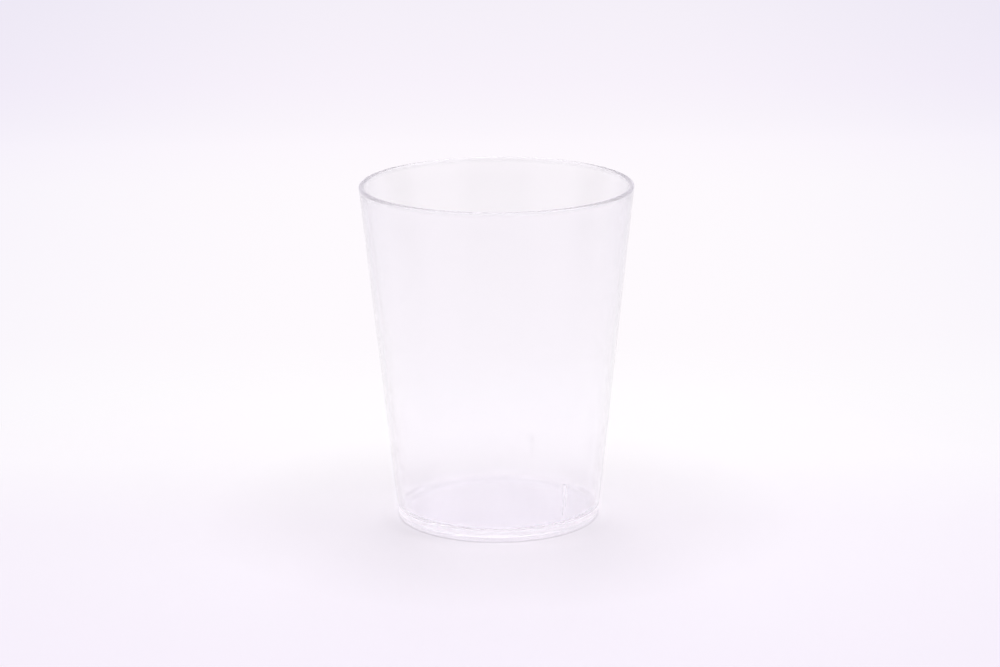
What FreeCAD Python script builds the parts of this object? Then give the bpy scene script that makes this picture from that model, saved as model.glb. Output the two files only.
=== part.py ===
import FreeCAD, Part
import os
from math import pi

import Sketcher
from FreeCAD import Placement, Rotation, Vector

# A reusable drinking cup, injection moulded in one piece of clear plastic.
#
# It is a body of revolution: a straight wall that widens upwards, a full-round rim, and a
# flat floor raised on a foot ring. Low on the inside of the wall stand small stacking ribs:
# their flat tops carry the foot of the next cup in a stack, so that the walls don't jam.
#
# The frame is +Z up, with the origin in the middle of the circle that the cup stands on.
# The front is -Y. Sizes are in millimetres and degrees.

SIZES = (
    ("mouth_diameter", 85.0, "outside diameter of the rim"),
    ("base_diameter", 63.0, "outside diameter at the table, with its edge taken as sharp"),
    ("cup_height", 106.0, "height of the rim above the table"),
    ("wall_thickness", 1.6, "thickness of the wall, square to it"),
    ("floor_thickness", 1.9, "thickness of the floor"),
    ("foot_height", 1.5, "height of the floor's underside above the table"),
    ("foot_width", 2.4, "width of the foot ring, with its edges taken as sharp"),
    ("foot_outer_radius", 1.0, "rounding of the cup's bottom edge"),
    ("foot_inner_radius", 0.5, "rounding of the foot ring's inner edge"),
    ("recess_radius", 0.5, "rounding between the foot ring and the floor's underside"),
    ("floor_radius", 2.0, "rounding between the inside wall and the floor"),
    ("rib_count", 3, "number of stacking ribs, evenly spaced"),
    ("stack_clearance", 0.1, "gap between the walls of stacked cups, which sets the ribs' height"),
    ("rib_depth", 1.1, "how far a rib stands out of the wall at its top"),
    ("rib_width", 1.0, "width of a rib round the wall"),
    ("rib_nose_radius", 0.3, "rounding of a rib's two upright edges"),
    ("rib_azimuth", 40.0, "angle from the front to the first rib, towards +X"),
)

# The lines of the cup's half section, in the order in which they are drawn.
UNDERSIDE, RECESS_SIDE, FOOT, OUTER_WALL, RIM, INNER_WALL, FLOOR_BEND, FLOOR, MIDDLE = range(9)
# The lines of a rib's side view, in the order in which they are drawn.
RIB_NOSE, RIB_BOTTOM, RIB_ROOT, RIB_TOP = range(4)
# How deep a rib is buried, as shares of the wall's thickness: its nose at the rib's lower
# end, where it has run out into the wall, and its root.
NOSE_END_SHARE = 0.2
ROOT_SHARE = 0.7

START, END, CENTRE = 1, 2, 3      # the points of a sketched line or arc
ORIGIN = (-1, 1)                  # the sketch's own origin
HEIGHT_AXIS = -2                  # the sketch's upright axis
FIRST_EXTERNAL = -3               # the first line that a sketch takes from another feature
FRONT_ANGLE = -90.0               # -Y, measured from +X
TOUCH = 1e-4                      # lengths closer than this count as equal


def make_sheet(doc):
    """Write the driving dimensions to a spreadsheet and return it."""
    sheet = doc.addObject("Spreadsheet::Sheet", "sizes")
    for row, (alias, value, meaning) in enumerate(SIZES, start=1):
        sheet.set(f"A{row}", meaning)
        sheet.set(f"B{row}", str(value))
        sheet.setAlias(f"B{row}", alias)
    doc.recompute()
    return sheet


def new_sketch(body, name):
    """A sketch on the body's upright XZ plane: its X is a radius and its Y a height."""
    sketch = body.newObject("Sketcher::SketchObject", name)
    plane = next(f for f in body.Origin.OriginFeatures if f.Role == "XZ_Plane")
    sketch.AttachmentSupport = [(plane, "")]
    sketch.MapMode = "FlatFace"
    return sketch


def relate(sketch, kind, *places):
    """Add a constraint that has no size."""
    sketch.addConstraint(Sketcher.Constraint(kind, *places))


def dimension(sketch, name, kind, places, formula):
    """Add a constraint whose size is a formula on the sheet's cells."""
    value = float(sketch.evalExpression(formula))
    index = sketch.addConstraint(Sketcher.Constraint(kind, *places, value))
    sketch.renameConstraint(index, name)
    sketch.setExpression(f"Constraints.{name}", formula)


def draw_cup(body, sheet):
    """The cup's half section, from the middle of the underside round to the floor."""
    sketch = new_sketch(body, "cup_section")
    base_radius = sheet.base_diameter / 2
    foot_inside = base_radius - sheet.foot_width
    wall_inside = base_radius - sheet.wall_thickness
    floor_level = sheet.foot_height + sheet.floor_thickness
    rim_radius = sheet.wall_thickness / 2
    rim_centre = Vector(sheet.mouth_diameter / 2 - rim_radius, sheet.cup_height - rim_radius, 0)
    bend_centre = Vector(wall_inside, floor_level, 0) + Vector(-1, 1, 0) * sheet.floor_radius
    corners = (
        Vector(0, sheet.foot_height, 0),
        Vector(foot_inside, sheet.foot_height, 0),
        Vector(foot_inside, 0, 0),
        Vector(base_radius, 0, 0),
        rim_centre + Vector(rim_radius, 0, 0),
        rim_centre - Vector(rim_radius, 0, 0),
        bend_centre + Vector(sheet.floor_radius, 0, 0),
        bend_centre - Vector(0, sheet.floor_radius, 0),
        Vector(0, floor_level, 0),
    )
    for line in range(MIDDLE + 1):
        if line == RIM:
            circle = Part.Circle(rim_centre, Vector(0, 0, 1), rim_radius)
            sketch.addGeometry(Part.ArcOfCircle(circle, 0, pi))
        elif line == FLOOR_BEND:
            circle = Part.Circle(bend_centre, Vector(0, 0, 1), sheet.floor_radius)
            sketch.addGeometry(Part.ArcOfCircle(circle, -pi / 2, 0))
        else:
            start = corners[line]
            end = corners[(line + 1) % len(corners)]
            sketch.addGeometry(Part.LineSegment(start, end))

    for line in (UNDERSIDE, RECESS_SIDE, FOOT, FLOOR):
        relate(sketch, "Coincident", line, END, line + 1, START)
    relate(sketch, "Coincident", MIDDLE, END, UNDERSIDE, START)
    relate(sketch, "Tangent", OUTER_WALL, END, RIM, START)
    relate(sketch, "Tangent", RIM, END, INNER_WALL, START)
    relate(sketch, "Tangent", INNER_WALL, END, FLOOR_BEND, END)
    relate(sketch, "Tangent", FLOOR_BEND, START, FLOOR, START)
    relate(sketch, "Parallel", OUTER_WALL, INNER_WALL)
    for line in (UNDERSIDE, FOOT, FLOOR):
        relate(sketch, "Horizontal", line)
    for line in (RECESS_SIDE, MIDDLE):
        relate(sketch, "Vertical", line)
    relate(sketch, "PointOnObject", MIDDLE, START, HEIGHT_AXIS)

    dimension(sketch, "table", "DistanceY", (*ORIGIN, FOOT, START), "0")
    dimension(sketch, "base_radius", "DistanceX", (*ORIGIN, FOOT, END),
              "sizes.base_diameter / 2")
    dimension(sketch, "foot_width", "DistanceX", (FOOT, START, FOOT, END), "sizes.foot_width")
    dimension(sketch, "foot_height", "DistanceY", (RECESS_SIDE, END, RECESS_SIDE, START),
              "sizes.foot_height")
    dimension(sketch, "floor_thickness", "DistanceY", (MIDDLE, END, MIDDLE, START),
              "sizes.floor_thickness")
    dimension(sketch, "floor_radius", "Radius", (FLOOR_BEND,), "sizes.floor_radius")
    dimension(sketch, "rim_radius", "Radius", (RIM,), "sizes.wall_thickness / 2")
    dimension(sketch, "rim_reach", "DistanceX", (*ORIGIN, RIM, CENTRE),
              "(sizes.mouth_diameter - sizes.wall_thickness) / 2")
    dimension(sketch, "rim_level", "DistanceY", (*ORIGIN, RIM, CENTRE),
              "sizes.cup_height - sizes.wall_thickness / 2")
    measure_slope(sketch)
    return sketch


def measure_slope(sketch):
    """Measure the outer wall's angle to the table, so that the ribs can follow it."""
    index = sketch.addConstraint(Sketcher.Constraint("Angle", OUTER_WALL, pi / 2))
    sketch.setDriving(index, False)
    sketch.renameConstraint(index, "wall_angle")


def draw_rib(body, sheet, cup_section):
    """A rib's side view: a flat top, and an upright nose that runs out into the wall below.

    The top is just high enough to keep the walls of two stacked cups apart. The leaning side
    is the rib's root, which is parallel to the wall and buried in it. In a steep wall the
    nose wouldn't run out above the floor, and then the rib ends in the floor.
    """
    sketch = new_sketch(body, "rib_section")
    sketch.addExternal(cup_section.Name, f"Edge{INNER_WALL + 1}")
    lean_sine = "cos(cup_section.Constraints.wall_angle)"
    top_formula = f"(sizes.wall_thickness + sizes.stack_clearance) / {lean_sine}"
    nose_length = f"(sizes.rib_depth + {NOSE_END_SHARE} * sizes.wall_thickness) / {lean_sine}"
    floor_middle = "sizes.foot_height + sizes.floor_thickness / 2"
    bottom_formula = f"max({top_formula} - {nose_length}; {floor_middle})"
    top = float(sketch.evalExpression(top_formula))
    bottom = float(sketch.evalExpression(bottom_formula))
    root_depth = ROOT_SHARE * sheet.wall_thickness
    wall = cup_section.Geometry[INNER_WALL]
    lean = (wall.StartPoint - wall.EndPoint).normalize()

    def beside_wall(level, depth):
        """The point at a height that lies this deep in the wall."""
        on_face = wall.EndPoint + lean * ((level - wall.EndPoint.y) / lean.y)
        return on_face + Vector(depth / lean.y, 0, 0)

    nose_top = beside_wall(top, -sheet.rib_depth)
    corners = (
        nose_top,
        Vector(nose_top.x, bottom, 0),
        beside_wall(bottom, root_depth),
        beside_wall(top, root_depth),
    )
    for line in range(RIB_TOP + 1):
        sketch.addGeometry(Part.LineSegment(corners[line], corners[(line + 1) % len(corners)]))

    for line in (RIB_NOSE, RIB_BOTTOM, RIB_ROOT):
        relate(sketch, "Coincident", line, END, line + 1, START)
    relate(sketch, "Coincident", RIB_TOP, END, RIB_NOSE, START)
    relate(sketch, "Vertical", RIB_NOSE)
    for line in (RIB_BOTTOM, RIB_TOP):
        relate(sketch, "Horizontal", line)
    relate(sketch, "Parallel", RIB_ROOT, FIRST_EXTERNAL)

    dimension(sketch, "rib_top", "DistanceY", (*ORIGIN, RIB_TOP, START), top_formula)
    dimension(sketch, "rib_bottom", "DistanceY", (*ORIGIN, RIB_BOTTOM, START), bottom_formula)
    dimension(sketch, "rib_depth", "Distance", (RIB_NOSE, START, FIRST_EXTERNAL),
              "sizes.rib_depth")
    dimension(sketch, "root_depth", "Distance", (RIB_ROOT, END, FIRST_EXTERNAL),
              f"sizes.wall_thickness * {ROOT_SHARE}")
    return sketch


def ring_edges(shape, level):
    """The names of the full circles at a height, the narrowest first."""
    rings = []
    for number, edge in enumerate(shape.Edges, start=1):
        if isinstance(edge.Curve, Part.Circle) and edge.isClosed():
            if abs(edge.Curve.Center.z - level) < TOUCH:
                rings.append((edge.Curve.Radius, f"Edge{number}"))
    return [name for radius, name in sorted(rings)]


def upright_edges(shape):
    """The names of the upright straight edges."""
    names = []
    for number, edge in enumerate(shape.Edges, start=1):
        if isinstance(edge.Curve, Part.Line) and edge.Length - edge.BoundBox.ZLength < TOUCH:
            names.append(f"Edge{number}")
    return names


def round_edges(body, name, names, formula):
    """Round edges of the body as it is so far, with a radius from the sheet."""
    base = body.Tip
    fillet = body.newObject("PartDesign::Fillet", name)
    fillet.Base = (base, names)
    fillet.setExpression("Radius", formula)
    body.Document.recompute()
    return fillet


def add_ribs(body, sheet, cup_section):
    """The stacking ribs: one rib with a rounded nose, repeated evenly round the axis."""
    rib = body.newObject("PartDesign::Pad", "rib")
    rib.Profile = draw_rib(body, sheet, cup_section)
    rib.SideType = "Symmetric"
    rib.setExpression("Length", "sizes.rib_width")
    body.Document.recompute()
    round_edges(body, "rib_rounding", upright_edges(body.Shape), "sizes.rib_nose_radius")

    ribs = body.newObject("PartDesign::PolarPattern", "ribs")
    ribs.TransformMode = "Whole shape"
    ribs.Axis = (cup_section, ["V_Axis"])
    ribs.Angle = 360
    ribs.setExpression("Occurrences", "sizes.rib_count")
    body.Tip = ribs
    body.Document.recompute()


def build_cup(doc, sheet):
    """Set out the ribs, turn the wall, floor and foot round them, and round the edges."""
    body = doc.addObject("PartDesign::Body", "cup_body")
    body.Label = "cup"
    cup_section = draw_cup(body, sheet)
    doc.recompute()
    add_ribs(body, sheet, cup_section)

    turned = body.newObject("PartDesign::Revolution", "turned_cup")
    turned.Profile = cup_section
    turned.ReferenceAxis = (cup_section, ["V_Axis"])
    turned.Angle = 360
    doc.recompute()

    round_edges(body, "recess_rounding", ring_edges(body.Shape, sheet.foot_height),
                "sizes.recess_radius")
    round_edges(body, "foot_outer_rounding", ring_edges(body.Shape, 0)[-1:],
                "sizes.foot_outer_radius")
    round_edges(body, "foot_inner_rounding", ring_edges(body.Shape, 0)[:1],
                "sizes.foot_inner_radius")

    turn = Rotation(Vector(0, 0, 1), FRONT_ANGLE + sheet.rib_azimuth)
    body.Placement = Placement(Vector(0, 0, 0), turn)
    body.setExpression("Placement.Rotation.Angle", f"{FRONT_ANGLE} + sizes.rib_azimuth")
    doc.recompute()
    return body


def check(doc, bodies):
    """Stop if a feature failed or a sub-part has no sound solid."""
    for item in doc.Objects:
        if "Invalid" in item.State or "Error" in item.State:
            raise RuntimeError(f"{item.Label} failed: {item.State}")
    for body in bodies:
        if body.Shape.isNull() or not body.Shape.isValid() or len(body.Shape.Solids) != 1:
            raise RuntimeError(f"{body.Label} isn't one valid solid")


def main():
    doc = FreeCAD.newDocument("reusable_cup")
    bodies = [build_cup(doc, make_sheet(doc))]
    check(doc, bodies)
    os.makedirs("parts", exist_ok=True)
    for body in bodies:
        body.Shape.exportStep(f"parts/{body.Label}.step")
        box = body.Shape.optimalBoundingBox(False, False)
        print(f"{body.Label}: {box.XLength:.2f} x {box.YLength:.2f} x {box.ZLength:.2f} mm, "
              f"{body.Shape.Volume / 1000:.2f} cm3")


main()
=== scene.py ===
"""Studio view of a clear plastic drinking cup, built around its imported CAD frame.

The cup is one moulding, so it is one closed mesh: its half section is turned round the axis,
and the inside wall's rings are pressed in where the stacking ribs stand. The cup stands on a
sheet of pale paper in a bright studio. Everything is in metres, with +Z up and the middle of
the cup's foot at the origin.
"""

from math import asin, atan, cos, hypot, pi, radians, sin, sqrt, tan

import bmesh
import bpy
from mathutils import Matrix, Vector


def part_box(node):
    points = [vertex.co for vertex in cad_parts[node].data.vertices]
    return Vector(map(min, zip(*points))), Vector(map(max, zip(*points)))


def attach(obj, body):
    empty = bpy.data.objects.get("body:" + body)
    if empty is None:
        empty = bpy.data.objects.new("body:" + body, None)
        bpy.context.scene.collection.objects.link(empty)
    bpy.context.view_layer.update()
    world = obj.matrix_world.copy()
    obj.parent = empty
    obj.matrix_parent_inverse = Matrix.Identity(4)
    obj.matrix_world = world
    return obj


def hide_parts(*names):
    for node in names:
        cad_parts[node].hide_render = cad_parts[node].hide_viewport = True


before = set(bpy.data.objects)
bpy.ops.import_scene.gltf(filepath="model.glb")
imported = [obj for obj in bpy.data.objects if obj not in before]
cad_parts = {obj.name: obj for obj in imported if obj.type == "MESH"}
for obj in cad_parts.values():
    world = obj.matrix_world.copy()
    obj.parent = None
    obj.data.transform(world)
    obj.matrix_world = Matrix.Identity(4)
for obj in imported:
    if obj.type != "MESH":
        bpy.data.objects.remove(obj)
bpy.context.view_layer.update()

# ---------------------------------------------------------------- the cup's sizes
MM = 0.001
CUP_LOW, CUP_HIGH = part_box("cup")
RIM_RADIUS = (CUP_HIGH[0] - CUP_LOW[0]) / 2
HEIGHT = CUP_HIGH[2]
BASE_RADIUS = 31.5 * MM          # where the outside wall would meet the floor
WALL = 1.6 * MM
FLOOR_THICKNESS = 1.9 * MM
FOOT_HEIGHT = 1.5 * MM
FOOT_WIDTH = 2.4 * MM
FOOT_OUTER_ROUND = 1.0 * MM
FOOT_INNER_ROUND = 0.5 * MM
RECESS_ROUND = 0.5 * MM          # the corner where the recess under the floor ends
FLOOR_ROUND = 2.0 * MM           # the inside corner between floor and wall
RIB_COUNT = 3
RIB_DEPTH = 1.1 * MM
RIB_WIDTH = 1.0 * MM
RIB_NOSE_ROUND = 0.3 * MM
RIB_AZIMUTH = radians(40.0)      # from the front, -Y, towards +X
STACK_CLEARANCE = 0.1 * MM       # between the walls of two stacked cups

RIM_ROUND = WALL / 2
RIM_CENTRE = (RIM_RADIUS - RIM_ROUND, HEIGHT - RIM_ROUND)
FLOOR_LEVEL = FOOT_HEIGHT + FLOOR_THICKNESS
RIM_REACH = RIM_CENTRE[0] - BASE_RADIUS    # from the base's edge out to the rim's centre
LEAN = (atan(RIM_REACH / RIM_CENTRE[1])    # of the wall, from upright
        + asin(RIM_ROUND / hypot(RIM_REACH, RIM_CENTRE[1])))
RIB_TOP = (WALL + STACK_CLEARANCE) / sin(LEAN)

# ---------------------------------------------------------------- how finely it is built
COLUMNS = 384                    # round the axis
RIB_COLUMNS = 9                  # across a rib's nose
SEAM = 0.02 * MM                 # width of the step between a rib and the wall
RIB_GAP = 4 * SEAM               # from a rib's side to where the evenly spaced columns start
RIB_RINGS = 44                   # up a rib
WALL_RINGS = 18                  # up the rest of a wall
FLOOR_RINGS = 4                  # across the cup's floor, above and below
FOOT_RINGS = 2                   # up the recess and across the foot
RIM_STEPS = 24                   # over the rim
BEND_STEPS = 12                  # round the inside corner
FOOT_OUTER_STEPS = 10            # round the foot's outer edge
FOOT_INNER_STEPS = 6             # round the foot's inner edge, and the recess's corner
CREASE = radians(40.0)           # edges that turn by more than this look sharp


def outer_wall(level):
    """The outside radius at a height."""
    return BASE_RADIUS + level * tan(LEAN)


def inner_wall(level):
    """The inside radius at a height, away from the ribs."""
    return outer_wall(level) - WALL / cos(LEAN)


def arc(centre, radius, start, end, steps):
    """Points along an arc of the section, both ends included."""
    angles = [start + (end - start) * i / steps for i in range(steps + 1)]
    return [(centre[0] + radius * cos(a), centre[1] + radius * sin(a)) for a in angles]


def between(start, end, steps):
    """Points along a straight line of the section, without its ends."""
    shares = [i / steps for i in range(1, steps)]
    return [(start[0] + (end[0] - start[0]) * t, start[1] + (end[1] - start[1]) * t)
            for t in shares]


def cup_section():
    """The half section as (radius, height) points, from the underside's middle, round the
    foot, up the outside, over the rim and down the inside to the floor's middle."""
    foot_inside = BASE_RADIUS - FOOT_WIDTH
    recess = arc((foot_inside - RECESS_ROUND, FOOT_HEIGHT - RECESS_ROUND), RECESS_ROUND,
                 pi / 2, 0, FOOT_INNER_STEPS)
    inner_foot = arc((foot_inside + FOOT_INNER_ROUND, FOOT_INNER_ROUND), FOOT_INNER_ROUND,
                     pi, 1.5 * pi, FOOT_INNER_STEPS)
    foot_centre = outer_wall(FOOT_OUTER_ROUND) - FOOT_OUTER_ROUND / cos(LEAN)
    outer_foot = arc((foot_centre, FOOT_OUTER_ROUND), FOOT_OUTER_ROUND, -pi / 2, -LEAN,
                     FOOT_OUTER_STEPS)
    rim = arc(RIM_CENTRE, RIM_ROUND, -LEAN, pi - LEAN, RIM_STEPS)
    bend_level = FLOOR_LEVEL + FLOOR_ROUND
    bend_centre = (inner_wall(bend_level) - FLOOR_ROUND / cos(LEAN), bend_level)
    bend = arc(bend_centre, FLOOR_ROUND, -LEAN, -pi / 2, BEND_STEPS)
    rib_foot = (inner_wall(bend[0][1]), bend[0][1])
    rib_head = (inner_wall(RIB_TOP), RIB_TOP)
    above_head = (inner_wall(RIB_TOP + SEAM), RIB_TOP + SEAM)

    points = [(0.0, FOOT_HEIGHT)] + between((0.0, FOOT_HEIGHT), recess[0], FLOOR_RINGS)
    points += recess + between(recess[-1], inner_foot[0], FOOT_RINGS) + inner_foot
    points += between(inner_foot[-1], outer_foot[0], FOOT_RINGS) + outer_foot
    points += between(outer_foot[-1], rim[0], WALL_RINGS) + rim
    points += between(rim[-1], above_head, WALL_RINGS) + [above_head, rib_head]
    points += between(rib_head, rib_foot, RIB_RINGS) + bend
    points += between(bend[-1], (0.0, FLOOR_LEVEL), FLOOR_RINGS) + [(0.0, FLOOR_LEVEL)]
    return points


def rib_nose(offset):
    """A rib's radius at a distance to the side of its middle."""
    nose = inner_wall(RIB_TOP) - RIB_DEPTH / cos(LEAN)
    bend = max(0.0, abs(offset) - (RIB_WIDTH / 2 - RIB_NOSE_ROUND))
    return nose + RIB_NOSE_ROUND - sqrt(max(0.0, RIB_NOSE_ROUND ** 2 - bend ** 2))


def cup_columns():
    """The angles of the columns round the axis, each with a rib's radius, or None beside
    the ribs."""
    nose = inner_wall(RIB_TOP) - RIB_DEPTH
    seam = (RIB_WIDTH / 2 + SEAM) / nose
    clear = (RIB_WIDTH / 2 + RIB_GAP) / nose
    first = -pi / 2 + RIB_AZIMUTH
    pitch = 2 * pi / RIB_COUNT
    plain = COLUMNS // RIB_COUNT
    columns = []
    for rib in range(RIB_COUNT):
        middle = first + rib * pitch
        columns.append((middle - seam, None))
        for i in range(RIB_COLUMNS):
            offset = RIB_WIDTH * (i / (RIB_COLUMNS - 1) - 0.5)
            columns.append((middle + offset / nose, rib_nose(offset)))
        columns.append((middle + seam, None))
        for i in range(plain + 1):
            columns.append((middle + clear + (pitch - 2 * clear) * i / plain, None))
    return columns


def make_ring(work, radius, level, columns, inside):
    """The corners at one point of the section, round the axis, or just one corner on it."""
    if radius == 0.0:
        return [work.verts.new((0.0, 0.0, level))]
    ring = []
    for angle, nose in columns:
        here = radius
        if inside and nose is not None and level <= RIB_TOP:
            here = min(radius, nose)
        ring.append(work.verts.new((here * cos(angle), here * sin(angle), level)))
    return ring


def join_rings(work, low, high):
    """A band of faces between two rings that follow each other in the section."""
    count = max(len(low), len(high))
    for i in range(count):
        j = (i + 1) % count
        if len(low) == 1:
            work.faces.new((low[0], high[j], high[i]))
        elif len(high) == 1:
            work.faces.new((low[i], low[j], high[0]))
        else:
            work.faces.new((low[i], low[j], high[j], high[i]))


def add_mesh(name, work):
    """A smooth-shaded object made of what has been built in `work`."""
    mesh = bpy.data.meshes.new(name)
    work.to_mesh(mesh)
    work.free()
    mesh.shade_smooth()
    thing = bpy.data.objects.new(name, mesh)
    bpy.context.scene.collection.objects.link(thing)
    return thing


def build_cup():
    """Turn the section into one closed mesh, with the ribs pressed out of the inside wall."""
    section = cup_section()
    columns = cup_columns()
    work = bmesh.new()
    rings = []
    for index, (radius, level) in enumerate(section):
        inside = index > len(section) // 2       # the section ends with the inside
        rings.append(make_ring(work, radius, level, columns, inside))
    for low, high in zip(rings, rings[1:]):
        join_rings(work, low, high)
    bmesh.ops.recalc_face_normals(work, faces=work.faces)
    cup = add_mesh("cup_moulding", work)
    cup.data.set_sharp_from_angle(angle=CREASE)
    return cup


# ---------------------------------------------------------------- shader nodes
def new_material(name):
    """A node material with only its output, and its tree."""
    material = bpy.data.materials.new(name)
    material.use_nodes = True
    tree = material.node_tree
    tree.nodes.clear()
    output = tree.nodes.new("ShaderNodeOutputMaterial")
    return material, tree, output


def object_point(tree):
    """Where a point of the object is, whole and split into X, Y and Z."""
    spot = tree.nodes.new("ShaderNodeTexCoord").outputs["Object"]
    split = tree.nodes.new("ShaderNodeSeparateXYZ")
    tree.links.new(spot, split.inputs[0])
    return spot, split.outputs


def colour(red, green, blue):
    """A linear colour from display values of 0 to 255."""
    shares = [value / 255 for value in (red, green, blue)]
    return [v / 12.92 if v <= 0.04045 else ((v + 0.055) / 1.055) ** 2.4 for v in shares] + [1.0]


def greys(shares):
    """The (place, share) pairs as (place, grey) pairs."""
    return [(place, (share, share, share, 1.0)) for place, share in shares]


def math_node(tree, operation, first, second):
    """A math node between sockets or plain numbers; returns its value."""
    node = tree.nodes.new("ShaderNodeMath")
    node.operation = operation
    for socket, value in zip(node.inputs, (first, second)):
        if isinstance(value, (int, float)):
            socket.default_value = value
        else:
            tree.links.new(value, socket)
    return node.outputs[0]


def smooth_step(tree, value, low, high):
    """0 below `low`, 1 above `high` and smooth between."""
    node = tree.nodes.new("ShaderNodeMapRange")
    node.interpolation_type = "SMOOTHSTEP"
    tree.links.new(value, node.inputs["Value"])
    node.inputs["From Min"].default_value = low
    node.inputs["From Max"].default_value = high
    return node.outputs["Result"]


def scaled(tree, factor, tone):
    """A colour multiplied by a factor or another colour; each a socket or a constant."""
    node = tree.nodes.new("ShaderNodeVectorMath")
    node.operation = "MULTIPLY"
    for socket, value in zip(node.inputs, (factor, tone)):
        if isinstance(value, tuple):
            socket.default_value = value
        else:
            tree.links.new(value, socket)
    return node.outputs["Vector"]


def mix_colours(tree, factor, first, second):
    """Blend from one colour to another; a colour is a constant or a socket."""
    mix = tree.nodes.new("ShaderNodeMix")
    mix.data_type = "RGBA"
    tree.links.new(factor, mix.inputs["Factor"])
    for socket, value in ((mix.inputs[6], first), (mix.inputs[7], second)):
        if isinstance(value, tuple):
            socket.default_value = value
        else:
            tree.links.new(value, socket)
    return mix.outputs[2]


def tone_ramp(tree, value, tones):
    """Colours by value, blended evenly between the places of the (place, colour) pairs."""
    start, reach = tones[0][0], tones[-1][0] - tones[0][0]
    ramp = tree.nodes.new("ShaderNodeValToRGB")
    tree.links.new(math_node(tree, "DIVIDE", math_node(tree, "SUBTRACT", value, start), reach),
                   ramp.inputs["Fac"])
    stops = ramp.color_ramp.elements
    while len(stops) < len(tones):
        stops.new(0.5)
    for stop, (place, tone) in zip(stops, tones):
        stop.position = (place - start) / reach
        stop.color = tone
    return ramp.outputs["Color"]


# ---------------------------------------------------------------- the plastic
PLASTIC_TINT = (0.995, 0.990, 1.0, 1.0)
PLASTIC_IOR = 1.49
PLASTIC_ROUGHNESS = 0.12
HAZE = 12.0                      # how often light scatters in a metre of plastic
FOOT_HAZE = 150.0                # and how much more often in the foot, where it is thick,
RIM_HAZE = 180.0                 # and in the rim, where the plastic flowed in last
FOOT_HAZE_FADE = (2.0 * MM, 4.5 * MM)    # the heights over which each joins the wall's haze
RIM_HAZE_FADE = (HEIGHT - 2.0 * MM, HEIGHT - 1.0 * MM)
FORWARD_HAZE = 0.5               # how far scattered light keeps to its way, from 0 to 1
DIMMING = 3.0                    # how strongly the plastic absorbs light, per metre, at most
# The share of that by height: none in the foot and the rim, most in the wall below the rim.
DIMMING_BY_HEIGHT = (
    (6.0 * MM, 0.0),
    (20.0 * MM, 0.3),
    (45.0 * MM, 0.6),
    (70.0 * MM, 0.7),
    (90.0 * MM, 1.0),
    (HEIGHT - 2.2 * MM, 1.0),
    (HEIGHT - 1.6 * MM, 0.0),
)


def plastic_inside(tree):
    """What light meets inside the plastic: haze, and dimming that changes with height."""
    _, place = object_point(tree)
    height = place["Z"]
    haze = tree.nodes.new("ShaderNodeVolumeScatter")
    haze.inputs["Color"].default_value = (1.0, 1.0, 1.0, 1.0)
    haze.inputs["Anisotropy"].default_value = FORWARD_HAZE
    past_foot = smooth_step(tree, height, *FOOT_HAZE_FADE)
    in_rim = smooth_step(tree, height, *RIM_HAZE_FADE)
    cloud = math_node(tree, "ADD", HAZE + FOOT_HAZE,
                      math_node(tree, "MULTIPLY", past_foot, -FOOT_HAZE))
    cloud = math_node(tree, "ADD", cloud, math_node(tree, "MULTIPLY", in_rim, RIM_HAZE))
    tree.links.new(cloud, haze.inputs["Density"])

    dimming = tree.nodes.new("ShaderNodeVolumeAbsorption")
    dimming.inputs["Color"].default_value = (0.0, 0.0, 0.0, 1.0)
    share = tone_ramp(tree, height, greys(DIMMING_BY_HEIGHT))
    tree.links.new(math_node(tree, "MULTIPLY", share, DIMMING), dimming.inputs["Density"])

    inside = tree.nodes.new("ShaderNodeAddShader")
    tree.links.new(haze.outputs["Volume"], inside.inputs[0])
    tree.links.new(dimming.outputs["Volume"], inside.inputs[1])
    return inside.outputs["Shader"]


def clear_plastic():
    """Clarified polypropylene: clear, very slightly milky, and smooth as moulded."""
    material, tree, output = new_material("clear_plastic")
    shader = tree.nodes.new("ShaderNodeBsdfPrincipled")
    shader.inputs["Base Color"].default_value = PLASTIC_TINT
    shader.inputs["IOR"].default_value = PLASTIC_IOR
    shader.inputs["Transmission Weight"].default_value = 1.0
    shader.inputs["Roughness"].default_value = PLASTIC_ROUGHNESS
    tree.links.new(shader.outputs["BSDF"], output.inputs["Surface"])
    tree.links.new(plastic_inside(tree), output.inputs["Volume"])
    return material


# ---------------------------------------------------------------- the paper
# The paper's tones by distance along the sweep from the cup, in metres: lilac-white in front,
# nearly white behind the cup, and greyer where the sheet curves up. These are painted light and
# shade: the sheet is lighter where the studio's light falls most on it and darker where it falls
# off.
PAPER_TONES = (
    (-0.13, (249, 242, 253)),
    (-0.01, (251, 245, 253)),
    (0.06, (255, 251, 255)),
    (0.14, (255, 252, 255)),
    (0.22, (254, 250, 254)),
    (0.50, (254, 250, 254)),
    (0.60, (253, 248, 254)),
    (0.66, (250, 245, 252)),
    (0.72, (248, 242, 251)),
    (0.85, (244, 239, 248)),
    (1.10, (243, 238, 248)),
)
# Painted shade: the paper is darker, and a little bluer, towards the sides, where the studio's
# light falls off.
PAINTED_SIDE_SHADE = (0.93, 0.93, 0.97, 1.0)  # what those tones are multiplied by at the sides
SIDE_FADE = (0.06, 0.34)             # the distances from the middle over which it sets in
FAR_FADE = (0.11, 0.20)              # where the lit paper gives way to plain, even tones
PAPER_WHITE = 0.935                  # how much of the light a pure white sheet throws back
LIGHT_TONE = (0.985, 0.935, 1.0)     # the studio's light is slightly lilac; the paper evens it
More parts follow.
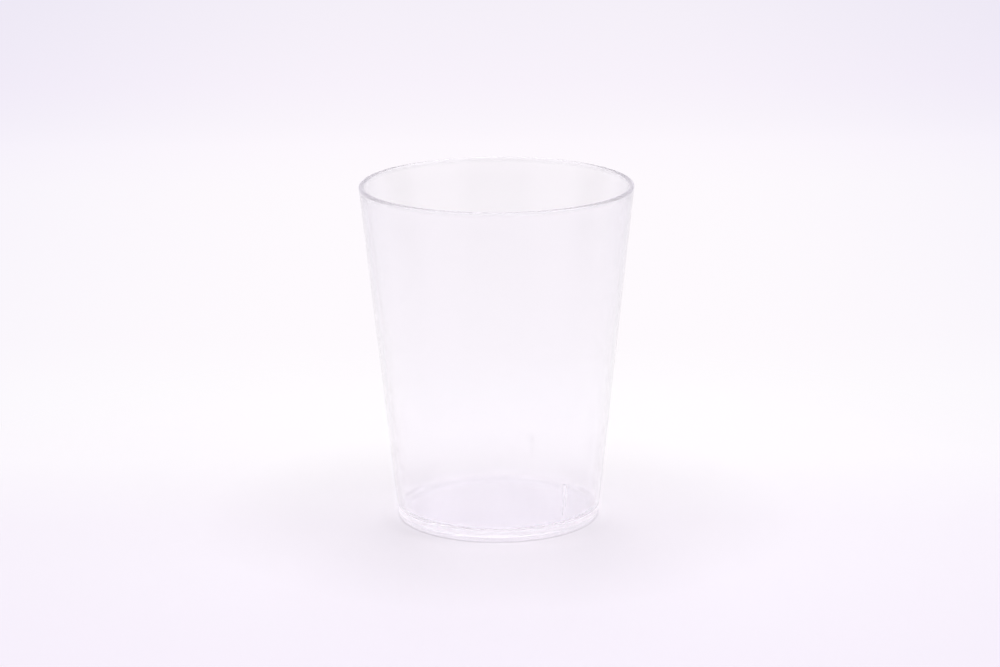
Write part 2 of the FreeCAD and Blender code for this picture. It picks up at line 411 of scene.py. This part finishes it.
# The cup's soft shadow, painted into the paper's colour on top of the shadow that the lamps
# cast:
# the part of the paper's tone that is left at a distance from the cup's axis. It is darkest
# along the foot's outer edge and lightest under the foot's ring.
PAINTED_SHADOW_TONES = (
    (BASE_RADIUS - 5.0 * MM, 0.880),
    (BASE_RADIUS - 3.5 * MM, 1.000),
    (BASE_RADIUS - 1.1 * MM, 1.000),
    (BASE_RADIUS - 0.7 * MM, 0.740),
    (BASE_RADIUS - 0.3 * MM, 0.770),
    (BASE_RADIUS + 0.2 * MM, 0.945),
    (BASE_RADIUS + 1.0 * MM, 0.930),
    (BASE_RADIUS + 2.5 * MM, 0.895),
    (BASE_RADIUS + 4.5 * MM, 0.870),
    (BASE_RADIUS + 13.5 * MM, 0.865),
    (BASE_RADIUS + 30.5 * MM, 0.880),
    (BASE_RADIUS + 63.5 * MM, 0.930),
)


def paper_tone(tree, place):
    """The paper's colour with its painted light and shade: the tones along the sweep, made
    darker sideways where the studio's light falls off.
    """
    along = math_node(tree, "ADD", place["Y"], place["Z"])
    sideways = math_node(tree, "ABSOLUTE", place["X"], 0.0)
    side = mix_colours(tree, smooth_step(tree, sideways, *SIDE_FADE),
                       (1.0, 1.0, 1.0, 1.0), PAINTED_SIDE_SHADE)
    tones = [(spot, colour(*tone)) for spot, tone in PAPER_TONES]
    return scaled(tree, side, tone_ramp(tree, along, tones))


def is_seen(tree):
    """1 where the paper is seen, straight or by way of gloss or clear plastic; 0 where it
    only lights other things."""
    ray = tree.nodes.new("ShaderNodeLightPath")
    seen = math_node(tree, "MAXIMUM", ray.outputs["Is Camera Ray"], ray.outputs["Is Glossy Ray"])
    return math_node(tree, "MAXIMUM", seen, ray.outputs["Is Transmission Ray"])


def paper():
    """The sheet that the cup stands on: lit and shadowed near it, with a painted shadow round
    the foot, and plain and even far behind.
    """
    material, tree, output = new_material("pale_paper")
    spot, place = object_point(tree)
    tone = paper_tone(tree, place)
    distance = tree.nodes.new("ShaderNodeVectorMath")
    distance.operation = "LENGTH"
    tree.links.new(spot, distance.inputs[0])
    distance = distance.outputs["Value"]

    lit = tree.nodes.new("ShaderNodeBsdfDiffuse")
    # Painted shadow: the paper's colour is darkened round the cup's foot and under the cup.
    white = scaled(tree, tone_ramp(tree, distance, greys(PAINTED_SHADOW_TONES)), tone)
    white = scaled(tree, white, tuple(PAPER_WHITE / part for part in LIGHT_TONE))
    tree.links.new(white, lit.inputs["Color"])
    plain = tree.nodes.new("ShaderNodeEmission")
    plain.inputs["Strength"].default_value = 1.0
    tree.links.new(tone, plain.inputs["Color"])

    far = smooth_step(tree, distance, *FAR_FADE)
    mix = tree.nodes.new("ShaderNodeMixShader")
    tree.links.new(math_node(tree, "MULTIPLY", is_seen(tree), far), mix.inputs["Fac"])
    tree.links.new(lit.outputs["BSDF"], mix.inputs[1])
    tree.links.new(plain.outputs["Emission"], mix.inputs[2])
    tree.links.new(mix.outputs["Shader"], output.inputs["Surface"])
    return material


SWEEP_HALF_WIDTH = 1.1
SWEEP_FRONT = -3.5                   # how far the paper lies flat in front of the cup
SWEEP_BACK = 0.62                    # and behind it, up to the bend
SWEEP_BEND = 0.35                    # the bend's radius
SWEEP_BEND_STEPS = 24
SWEEP_TOP = 0.75
PAPER_DROP = 0.05 * MM               # a hair of air under the foot


def build_sweep():
    """A sheet of paper that lies flat under the cup and curves up behind it."""
    bend = arc((SWEEP_BACK, SWEEP_BEND - PAPER_DROP), SWEEP_BEND, -pi / 2, 0.0,
               SWEEP_BEND_STEPS)
    profile = [(SWEEP_FRONT, -PAPER_DROP)] + bend + [(SWEEP_BACK + SWEEP_BEND, SWEEP_TOP)]
    work = bmesh.new()
    left = [work.verts.new((-SWEEP_HALF_WIDTH, y, z)) for y, z in profile]
    right = [work.verts.new((SWEEP_HALF_WIDTH, y, z)) for y, z in profile]
    for i in range(len(profile) - 1):
        work.faces.new((left[i], right[i], right[i + 1], left[i + 1]))
    sweep = add_mesh("sweep", work)
    sweep.data.materials.append(paper())
    return sweep


# ---------------------------------------------------------------- the studio
SOFTBOXES = (                            # each one's name, place, side and power in watts
    ("softbox_behind", (0.0, 0.8, 1.1), 0.5, 3.0),
    ("softbox_right", (0.85, -0.2, 0.75), 0.7, 2.3),
    ("softbox_left", (-0.85, -0.2, 0.75), 0.7, 1.35),
)
SKY_TONE = (0.95, 0.95, 0.95, 1.0)       # the bright studio overhead
SKY_FADE = (0.14, 0.45)                  # the sines of the elevations over which it sets in
LOW_TONE = (0.03, 0.03, 0.03, 1.0)       # the dim room beyond the paper's edges
LOBE_TONE = (0.62, 0.62, 0.62, 1.0)      # a pale patch of it to each side of the camera
LOBE_AZIMUTH = radians(55.0)             # where its middle is, from -Y towards +X or -X
LOBE_EDGE = radians(35.0)                # how far it reaches from there
LOBE_CORE = radians(12.0)                # and how far it has its full tone


def add_softbox(name, place, side, power):
    """A square area light that faces the place where the cup stands."""
    light = bpy.data.lights.new(name, "AREA")
    light.shape = "SQUARE"
    light.size = side
    light.energy = power
    light.color = LIGHT_TONE
    lamp = bpy.data.objects.new(name, light)
    bpy.context.scene.collection.objects.link(lamp)
    lamp.location = place
    direction = Vector((0.0, 0.0, 0.0)) - Vector(place)
    lamp.rotation_euler = direction.to_track_quat("-Z", "Y").to_euler()


def build_room():
    """The world: bright above, dim at the cup's height but for a pale patch on each side."""
    world = bpy.data.worlds.new("studio")
    bpy.context.scene.world = world
    world.use_nodes = True
    tree = world.node_tree
    background = tree.nodes["Background"]
    place = tree.nodes.new("ShaderNodeTexCoord")
    split = tree.nodes.new("ShaderNodeSeparateXYZ")
    tree.links.new(place.outputs["Generated"], split.inputs[0])
    sideways = math_node(tree, "ABSOLUTE", split.outputs["X"], 0.0)
    towards_lobe = math_node(
        tree, "SUBTRACT",
        math_node(tree, "MULTIPLY", sideways, sin(LOBE_AZIMUTH)),
        math_node(tree, "MULTIPLY", split.outputs["Y"], cos(LOBE_AZIMUTH)))
    in_lobe = smooth_step(tree, towards_lobe, cos(LOBE_EDGE), cos(LOBE_CORE))
    above = smooth_step(tree, split.outputs["Z"], *SKY_FADE)
    room = mix_colours(tree, in_lobe, LOW_TONE, LOBE_TONE)
    room = mix_colours(tree, above, room, SKY_TONE)
    tree.links.new(scaled(tree, room, LIGHT_TONE), background.inputs["Color"])
    background.inputs["Strength"].default_value = 1.0


CAMERA_PLACE = (0.0008, -0.979, 0.3118)
CAMERA_DIP = 14.52                       # how far it looks down, in degrees
CAMERA_ROLL = -0.35                      # and how far it leans, in degrees
CAMERA_LENS = 116.7                      # in millimetres, on a sensor this wide
CAMERA_SENSOR = 36.0


def add_camera():
    """A long lens in front of the cup, a little above it and looking slightly down."""
    camera = bpy.data.objects.new("camera", bpy.data.cameras.new("camera"))
    bpy.context.scene.collection.objects.link(camera)
    camera.data.sensor_width = CAMERA_SENSOR
    camera.data.lens = CAMERA_LENS
    tilt = Matrix.Rotation(radians(90.0 - CAMERA_DIP), 4, "X")
    roll = Matrix.Rotation(radians(CAMERA_ROLL), 4, "Z")
    camera.matrix_world = Matrix.Translation(Vector(CAMERA_PLACE)) @ tilt @ roll
    bpy.context.scene.camera = camera


LONG_PATH = 64                           # turns that light may take in all
HAZE_TURNS = 48                          # of which this many in the haze
PAPER_TURNS = 12                         # and this many off the paper


def follow_light():
    """Light finds its way through the solid foot and rim, and onto the paper under the cup,
    only after many turns, and not at all if its rays are blurred on the way."""
    paths = bpy.context.scene.cycles
    paths.max_bounces = LONG_PATH
    paths.glossy_bounces = LONG_PATH
    paths.transmission_bounces = LONG_PATH
    paths.volume_bounces = HAZE_TURNS
    paths.diffuse_bounces = PAPER_TURNS
    paths.blur_glossy = 0.0


# ---------------------------------------------------------------- the scene
cup = build_cup()
cup.data.materials.append(clear_plastic())
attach(cup, "root")
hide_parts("cup")

build_sweep()
build_room()
for softbox in SOFTBOXES:
    add_softbox(*softbox)
add_camera()
follow_light()
bpy.context.scene.view_settings.view_transform = "Standard"
